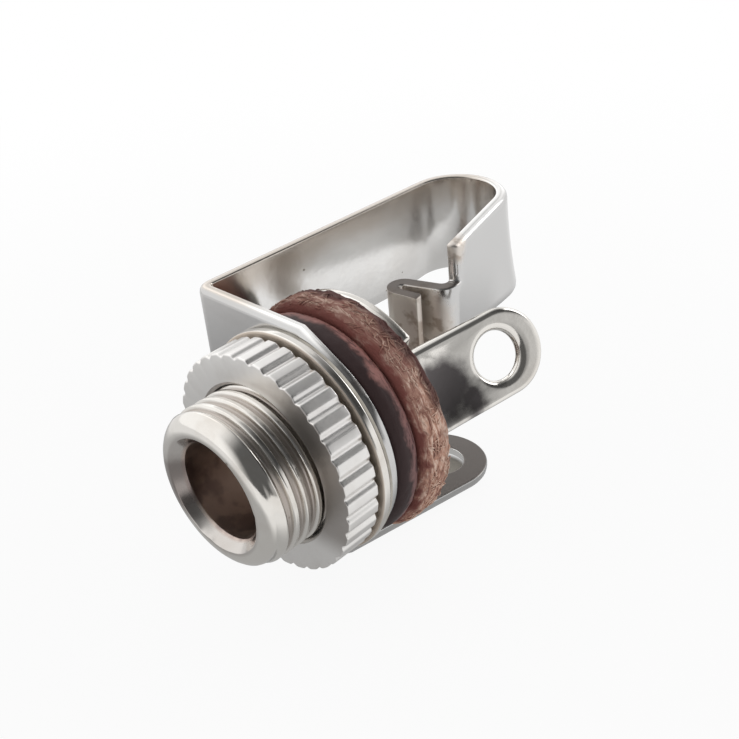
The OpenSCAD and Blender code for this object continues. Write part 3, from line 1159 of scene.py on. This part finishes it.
# painted shade in the thread's roots
tarnish_and_painted_shade(turned_finish, metal.times(root_shade, past_mouth, on_thread), tone=(0.36, 0.31, 0.275), gloss=0.35)
past_thread = metal.spread(reach, thread_r + 0.2, thread_r + 0.4, 0, 0.9)
seat = metal.times(past_thread, metal.spread(spot[1], 0.02, 0.06, 1, 0))
# painted light: the seat made matt brown so the gap behind the nut isn't black
tarnish_and_painted_shade(turned_finish, seat, tone=(0.62, 0.54, 0.46), gloss=0.7)

# %% [markdown]
# The right of the nut's front face, beside the nose, is darkened to a brownish grey. The mask asks which way
# the surface looks as well as where it is, so the knurl beside the face keeps its tone.

# %% Darker right of the nut's front face
metal = Nodes(knurl_finish.node_tree)
spot = metal.split(metal.place())
to_right = metal.spread(spot[0], 0.9, 2.6, 0, 0.75)
not_low = metal.spread(spot[2], -2.5, -1.3)
looks_forward = metal.spread(metal.facing()[1], -0.9, -0.7, 1, 0)
right_face_darkening = metal.times(to_right, not_low, looks_forward)
tarnish_and_painted_shade(knurl_finish, right_face_darkening, tone=(0.3, 0.27, 0.25), gloss=0.4)

# %% [markdown]
# ### Fibre
# The washers' fibre is compressed paper, dyed. Each washer's tone changes from its front edge to its rear one
# and from its top to its sides, and these changes are painted light and shade. A dark band at each washer's
# front is painted shade where it meets the part before it. On the dark washer the paler mauve rear is a
# painted sheen and the redder top is painted light; on the red washer the darker top is painted shade, and a
# near-black band along its rear edge is painted shade beside the lug. The rim shows tangled strands that run
# round it. A noise stretched along the rim gives the strands: the coordinates are taken as turn, height and
# radius, so the strands bend with the washer.

# %% Group for the fibre's strands and its painted light and shade
strands_per_mm = 4.5
strand_stretch = 0.3
clumps_per_mm = 1.3
clump_along, clump_up = 0.8, 4
upper_span = (0.5, 3.6)
gap_span = (0.36, 0.5)
strand_span = (0.5, 0.64)
bare_span = (0.5, 4)
rear_shade_along, rear_shade_up = (2.45, 2.85), (0, 2.5)
rear_shade_tone = (0.08, 0.035, 0.034)
fibre, given = new_group(
    "Fibre strands",
    {"Front": "Color", "Rear": "Color", "Upper": "Color", "Strand": "Color",
     "Start": "Float", "End": "Float", "Strand share": "Float"},
    {"Color": "Color", "Height": "Float"},
)
place = fibre.place()
spot = fibre.split(place)
around = fibre.times(fibre.calc("ARCTAN2", spot[2], spot[0]), rear_rim, strand_stretch)
unrolled = fibre.add("CombineXYZ", inputs={0: around, 1: spot[1], 2: fibre.distance(place)}).outputs[0]
strand_noise = fibre.noise(unrolled, strands_per_mm, detail=5, roughness=0.6, distortion=1.5)
clumps = fibre.calc("SUBTRACT", fibre.noise(place, clumps_per_mm, detail=4), noise_middle)
along = fibre.calc("ADD", spot[1], fibre.times(clumps, clump_along))
height = fibre.calc("ADD", spot[2], fibre.times(clumps, clump_up))
# painted light and shade: a dark front band, and a top tone of its own
rear_tone = fibre.mix_tone(fibre.spread(height, *upper_span), given["Rear"], given["Upper"])
rearward = fibre.spread(along, given["Start"], given["End"])
body_tone = fibre.mix_tone(rearward, given["Front"], rear_tone)
gaps = fibre.spread(strand_noise, *gap_span, 0.7, 0)
gapped = fibre.mix_tone(gaps, body_tone, given["Front"])
fewer_above = fibre.spread(height, *bare_span, 1, 0.45)
strand_mask = fibre.times(
    fibre.spread(strand_noise, *strand_span), rearward, given["Strand share"], fewer_above)
stranded = fibre.mix_tone(strand_mask, gapped, given["Strand"])
# painted shade along the rear washer's rear edge, beside the lug
rear_edge_shade = fibre.times(fibre.spread(along, *rear_shade_along), fibre.spread(height, *rear_shade_up, 0.1, 0.9))
close_group(fibre, Color=fibre.mix_tone(rear_edge_shade, stranded, rear_shade_tone), Height=strand_noise)


# %% The three fibre finishes
fibre_bump = 0.9
fibre_shine = 0.25
tone_names = ("Front", "Rear", "Upper", "Strand")


def fibre_finish(name, tones, span, strand_share, gloss, depth):
    """Fibre with tones for its front, rear, upper side and strands. Front turns to rear over the span."""
    values = dict(zip(tone_names, tones))
    values |= {"Start": span[0], "End": span[1], "Strand share": strand_share}
    material, _, shader, _ = layered_finish(name, fibre, values, fibre_bump, depth)
    shader.inputs["Roughness"].default_value = gloss
    shader.inputs["Specular IOR Level"].default_value = fibre_shine
    return material


# front, rear, upper and strand tones; the front, rear and upper ones carry the painted shade, sheen and light
dark_tones = [(0.038, 0.021, 0.021), (0.22, 0.12, 0.115), (0.27, 0.125, 0.11), (0.3, 0.18, 0.17)]
red_tones = [(0.17, 0.058, 0.048), (0.58, 0.34, 0.255), (0.27, 0.145, 0.115), (0.86, 0.68, 0.57)]
loose_tones = [(0.25, 0.105, 0.082), (0.62, 0.41, 0.32), (0.34, 0.2, 0.155), (0.85, 0.68, 0.57)]
front_span, rear_span = (1.25, 1.55), (1.85, 2.15)
dress(front_washer, fibre_finish(
    "dark fibre", dark_tones, front_span, strand_share=0.35, gloss=0.5, depth=0.02))
dress(rear_washer, fibre_finish(
    "red fibre", red_tones, rear_span, strand_share=0.85, gloss=0.8, depth=0.06))
dress(strands, fibre_finish(
    "loose fibre", loose_tones, rear_span, strand_share=0.8, gloss=0.7, depth=0.01))

# %% [markdown]
# ### Film
# The film between the collar and the spring shows only as a thin dull line, so a mesh of its own would add
# nothing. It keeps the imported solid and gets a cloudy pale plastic.

# %% Finish for the film
film_gloss = 0.4
film_clouds_per_mm = 1.5
film_dark, film_pale = (0.36, 0.33, 0.28), (0.52, 0.49, 0.43)
film_material, surface, shader = new_finish("pale film")
film_cloud = surface.spread(surface.noise(surface.place(), film_clouds_per_mm), 0.3, 0.7)
film_tone = surface.mix_tone(film_cloud, film_dark, film_pale)
surface.feed(shader.inputs["Base Color"], film_tone)
shader.inputs["Roughness"].default_value = film_gloss
dress(frame["nodes"]["film_washer"], film_material)

# %% [markdown]
# ## Studio
# The photograph was taken from the front right, a little above. The camera's angles, its distance and its
# lens were fitted to the socket's edges in the photograph, so every edge falls where it does there. Moving
# the camera sideways, and not shifting the lens, keeps other views centred.

# %% Camera at the photograph's angle
view_azimuth = math.radians(46.34)
view_elevation = math.radians(31.7)
view_roll = math.radians(-5.65)
view_distance = 40
view_centre = Vector((0, -0.05, 0))
look_right = 2.6047
look_up = 2.5429
lens_mm = 56.78


def away_vector(azimuth, elevation):
    """Direction from the socket, with the azimuth counted from its mouth to its right."""
    level = math.cos(elevation)
    return Vector((math.sin(azimuth) * level, -math.cos(azimuth) * level, math.sin(elevation)))


back = away_vector(view_azimuth, view_elevation)
level_right = Vector((math.cos(view_azimuth), math.sin(view_azimuth), 0))
level_up = back.cross(level_right)
right = math.cos(view_roll) * level_right + math.sin(view_roll) * level_up
up = -math.sin(view_roll) * level_right + math.cos(view_roll) * level_up
place_mm = right * look_right + up * look_up + back * view_distance + view_centre
camera = bpy.data.objects.new("camera", bpy.data.cameras.new("camera"))
bpy.context.collection.objects.link(camera)
camera.data.lens = lens_mm
camera.data.clip_start = MM
camera_turn = Matrix((right, up, back)).transposed().to_4x4()
camera.matrix_world = Matrix.Translation(place_mm * MM) @ camera_turn
bpy.context.scene.camera = camera
print("camera at", [round(v, 2) for v in place_mm])

# %% [markdown]
# ### Floor
# The socket stands on white paper. Plain paper would be grey away from the lamps, so the floor is white to
# the camera by its own glow, and still lets some of the paper with its shadow through near the socket. Metal
# shows what stands round it more than its own colour, so reflections see another glow, brighter on the right
# and far off. Under the terminal's hole the paper lies in shade.

# %% Build the floor
floor_half = 400
floor_gap = 0.04
floor_z = spring_low.z - floor_gap
floor_mesh = bpy.data.meshes.new("floor")
corners = [(-1, -1), (1, -1), (1, 1), (-1, 1)]
floor_points = [(x * floor_half * MM, y * floor_half * MM, floor_z * MM) for x, y in corners]
floor_mesh.from_pydata(floor_points, [], [(0, 1, 2, 3)])
floor = bpy.data.objects.new("floor", floor_mesh)
bpy.context.collection.objects.link(floor)
print(f"floor at z {floor_z:.2f} mm")

# %% Finish for the floor
near_white = 0.92
front_glow = 0.47
right_glow = 0.55
back_glow = 0.05
far_glow = 0.5
most_glow = 1.1
glow_share = 0.85
hole_shade = 0.05
shade_edge = 0.4
shaded_paper, plain_paper = (0.34, 0.31, 0.26), (0.65, 0.65, 0.65)
floor_material, paper, _ = new_finish("white floor")
paper.tree.nodes.clear()
path = paper.add("LightPath").outputs
place = paper.place()
spot = paper.split(place)
far = paper.distance(place)
hole_x, hole_y, _ = mount("tip_terminal_hole")["pos_m"]
from_hole = paper.distance(place, (hole_x / MM, hole_y / MM, floor_z))
in_shade = paper.spread(from_hole, tab_hole_r, tab_hole_r + shade_edge, hole_shade, 1)
seen = paper.times(path["Is Camera Ray"], paper.spread(far, 15, 60, near_white, 1), in_shade)
mirrored = paper.calc("MAXIMUM", path["Is Glossy Ray"], path["Is Transmission Ray"])
glow = paper.calc(
    "ADD",
    paper.spread(spot[0], 4, 10, front_glow, front_glow + right_glow),
    paper.spread(spot[1], 6, 16, 0, back_glow),
    paper.spread(far, 16, 28, 0, far_glow),
)
glow = paper.times(mirrored, paper.calc("MINIMUM", glow, most_glow))
strength = paper.calc("MAXIMUM", path["Is Camera Ray"], glow)
share = paper.calc("MAXIMUM", seen, paper.times(mirrored, glow_share))
white = paper.add("Emission", inputs={"Color": (1, 1, 1), "Strength": strength})
paper_tone = paper.mix_tone(in_shade, shaded_paper, plain_paper)
sheet_of_paper = paper.add("BsdfDiffuse", inputs={"Color": paper_tone})
mixed = paper.add("MixShader", inputs={0: share, 1: sheet_of_paper.outputs[0], 2: white.outputs[0]})
paper.add("OutputMaterial", inputs={0: mixed.outputs[0]})
dress(floor, floor_material)

# %% [markdown]
# ### Sky
# A picture of a real studio could light the metal, but this script reads nothing besides the frame. So the
# sky is drawn by direction for reflections: a bright wall on the left that dims high up at the back, a dark
# one on the right, where the nose shows its dark band, and a pale strip low on the right and at the back.
# Fibre has no gloss to speak of, so for it the sky is one even soft light. To the camera it is white.

# %% Draw the sky
bright_wall = 1.2
dark_wall = 0.115
upper_share = 0.45
low_strip = 1.05
low_front_share = 0.47
back_strip = 1.0
even_light = 0.85
world = bpy.data.worlds.new("studio sky")
bpy.context.scene.world = world
world.use_nodes = True
sky = Nodes(world.node_tree)
sky.tree.nodes.clear()
to_right, to_back, to_top = sky.split(sky.add("TexCoord").outputs["Generated"])
high_back = sky.times(sky.spread(to_back, 0.2, 0.5), sky.spread(to_top, 0.2, 0.5))
walls = sky.times(
    sky.spread(to_right, -0.4, 0.3, bright_wall, dark_wall), sky.spread(high_back, 0, 1, 1, upper_share))
low = sky.times(
    sky.spread(to_top, 0.15, 0.45, low_strip, 0),
    sky.spread(to_back, 0.1, 0.55, low_front_share, 1),
    sky.spread(to_back, -0.4, 0.1),
)
rear = sky.spread(to_back, 0.62, 0.85, 0, back_strip)
studio = sky.calc("MAXIMUM", walls, low, rear)
path = sky.add("LightPath").outputs
sky_lit = sky.mix_tone(path["Is Glossy Ray"], (even_light, even_light, even_light), studio)
sky_seen = sky.mix_tone(path["Is Camera Ray"], sky_lit, (1, 1, 1))
background = sky.add("Background", inputs={"Color": sky_seen, "Strength": 1.0})
sky.add("OutputWorld", inputs={0: background.outputs[0]})
print("sky:", len(sky.tree.nodes), "nodes")

# %% [markdown]
# ### Soft boxes
# Two square lamps give the even light a direction: one from the left, behind the arm, and a smaller one from
# the rear. A lamp's power is worked out from how bright it should look, so it can be compared with the sky.

# %% Hang the soft boxes
def soft_box(name, azimuth, elevation, distance, size, radiance):
    """A square lamp that looks at the socket. Radiance is how bright it looks, 1 being white."""
    away = away_vector(math.radians(azimuth), math.radians(elevation))
    lamp = bpy.data.objects.new(name, bpy.data.lights.new(name, "AREA"))
    lamp.data.size = size * MM
    lamp.data.energy = radiance * math.pi * (size * MM) ** 2
    lamp.location = away * distance * MM
    lamp.rotation_euler = away.to_track_quat("Z", "Y").to_euler()
    bpy.context.collection.objects.link(lamp)
    print(f"{name}: {lamp.data.energy:.4f} W")


soft_box("left box", azimuth=-125, elevation=40, distance=120, size=100, radiance=0.4)
soft_box("rear box", azimuth=160, elevation=26, distance=120, size=55, radiance=2)
bpy.context.scene.view_settings.view_transform = "Standard"
